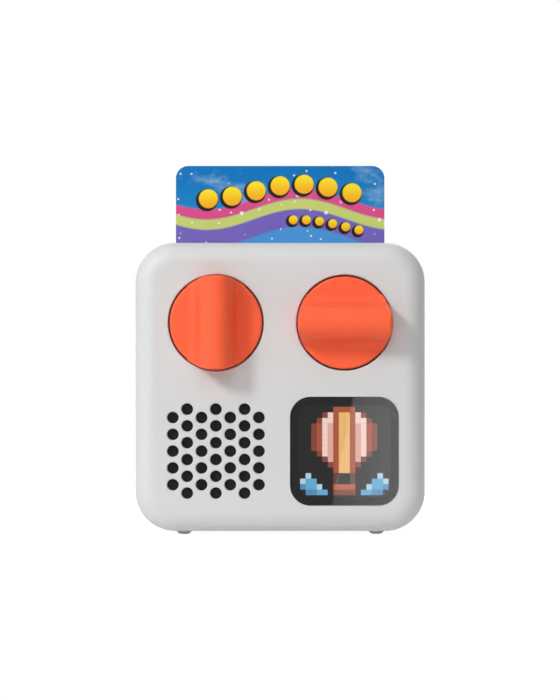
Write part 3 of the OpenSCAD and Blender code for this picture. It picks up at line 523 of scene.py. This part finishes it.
def make_lights():
    """Soft square lights, all turned to the middle of the object."""
    for name, (place, size, power) in LIGHTS.items():
        data = bpy.data.lights.new(name, "AREA")
        data.energy = power
        data.size = size
        lamp = bpy.data.objects.new(name, data)
        lamp.location = MIDDLE + Vector(place)
        lamp.rotation_euler = (-Vector(place)).to_track_quat("-Z", "Y").to_euler()
        lamp.visible_camera = False
        scene.collection.objects.link(lamp)


# the panel: its plane, the ends of its left edge in that plane and its width
PANEL_Y = -1.2
PANEL_LOW = (31.9 * MM, -48.8 * MM)
PANEL_HIGH = (44.8 * MM, 18.1 * MM)
PANEL_WIDTH = 80 * MM
# how far the panel runs on past each of those ends, as a share of the edge
PANEL_OVERRUN = 0.5
# its glow at the left edge and at the middle
PANEL_DIM = 3.0
PANEL_BRIGHT = 5.1


def make_reflection():
    """A slanted light panel in front, which only shiny surfaces see: it lies in the window's gloss."""
    mesh = bpy.data.meshes.new("panel")
    corner = Vector((PANEL_LOW[0], PANEL_Y, PANEL_LOW[1]))
    edge = Vector((PANEL_HIGH[0], PANEL_Y, PANEL_HIGH[1])) - corner
    across = Vector((edge.z, 0, -edge.x)).normalized() * PANEL_WIDTH
    start, end = corner - PANEL_OVERRUN * edge, corner + (1 + PANEL_OVERRUN) * edge
    mesh.from_pydata([start, start + across, end + across, end], [], [(0, 1, 2, 3)])
    panel = bpy.data.objects.new("panel", mesh)
    scene.collection.objects.link(panel)
    n = Nodes("panel")
    ramp = n.add("ShaderNodeMapRange")
    n.link(n.split(n.position())["X"], ramp.inputs["Value"])
    ramp.inputs["From Min"].default_value = PANEL_LOW[0]
    ramp.inputs["From Max"].default_value = PANEL_LOW[0] + 0.5 * PANEL_WIDTH
    ramp.inputs["To Min"].default_value = PANEL_DIM
    ramp.inputs["To Max"].default_value = PANEL_BRIGHT
    glow = n.add("ShaderNodeEmission")
    n.link(ramp.outputs["Result"], glow.inputs["Strength"])
    n.link(glow.outputs[0], n.output.inputs["Surface"])
    mesh.materials.append(n.material)
    for kind in ("camera", "diffuse", "transmission", "volume_scatter", "shadow"):
        setattr(panel, "visible_" + kind, False)


def seen_directly(tree):
    """1 for rays from the camera, reflections and what shows through, else 0."""
    path = tree.nodes.new("ShaderNodeLightPath")
    seen = path.outputs["Is Camera Ray"]
    for kind in ("Is Glossy Ray", "Is Transmission Ray"):
        either = tree.nodes.new("ShaderNodeMath")
        either.operation = "MAXIMUM"
        tree.links.new(seen, either.inputs[0])
        tree.links.new(path.outputs[kind], either.inputs[1])
        seen = either.outputs[0]
    return seen


# light of the surroundings on the object; where they are seen they are white
WORLD_STRENGTH = 0.26


def make_world():
    """Even light from all round, which shows as white."""
    world = bpy.data.worlds.new("studio")
    scene.world = world
    world.use_nodes = True
    tree = world.node_tree
    background = tree.nodes["Background"]
    background.inputs["Color"].default_value = (1, 1, 1, 1)
    strength = tree.nodes.new("ShaderNodeMapRange")
    strength.inputs["To Min"].default_value = WORLD_STRENGTH
    strength.inputs["To Max"].default_value = 1.0
    tree.links.new(seen_directly(tree), strength.inputs["Value"])
    tree.links.new(strength.outputs["Result"], background.inputs["Strength"])


# how far the floor reaches in front of the face, behind and to each side
FLOOR_FRONT = 0.14
FLOOR_BACK = 1.6
FLOOR_SIDE = 1.2
# how much of the seen floor is its own glow, which keeps the shadow faint, and how strong the glow is
FLOOR_GLOW = 0.80
FLOOR_STRENGTH = 1.18


def make_floor():
    """A white floor that shows as white and keeps a faint shadow."""
    mesh = bpy.data.meshes.new("floor")
    near = face_y - FLOOR_FRONT
    corners = ((-FLOOR_SIDE, near, 0), (FLOOR_SIDE, near, 0),
               (FLOOR_SIDE, FLOOR_BACK, 0), (-FLOOR_SIDE, FLOOR_BACK, 0))
    mesh.from_pydata(corners, [], [(0, 1, 2, 3)])
    floor = bpy.data.objects.new("floor", mesh)
    scene.collection.objects.link(floor)
    n = Nodes("floor")
    n.shader.inputs["Base Color"].default_value = (0.96, 0.96, 0.96, 1)
    n.shader.inputs["Roughness"].default_value = 0.9
    glow = n.add("ShaderNodeEmission")
    glow.inputs["Strength"].default_value = FLOOR_STRENGTH
    share = n.calc("MULTIPLY", seen_directly(n.tree), FLOOR_GLOW)
    mixed = n.add("ShaderNodeMixShader")
    n.link(share, mixed.inputs[0])
    n.link(n.shader.outputs[0], mixed.inputs[1])
    n.link(glow.outputs[0], mixed.inputs[2])
    n.link(mixed.outputs[0], n.output.inputs["Surface"])
    mesh.materials.append(n.material)


# ---------- the scene ----------
scene.view_settings.view_transform = "Standard"
make_camera()
dress_nodes(make_materials())
make_picture()
make_lights()
make_reflection()
make_world()
make_floor()
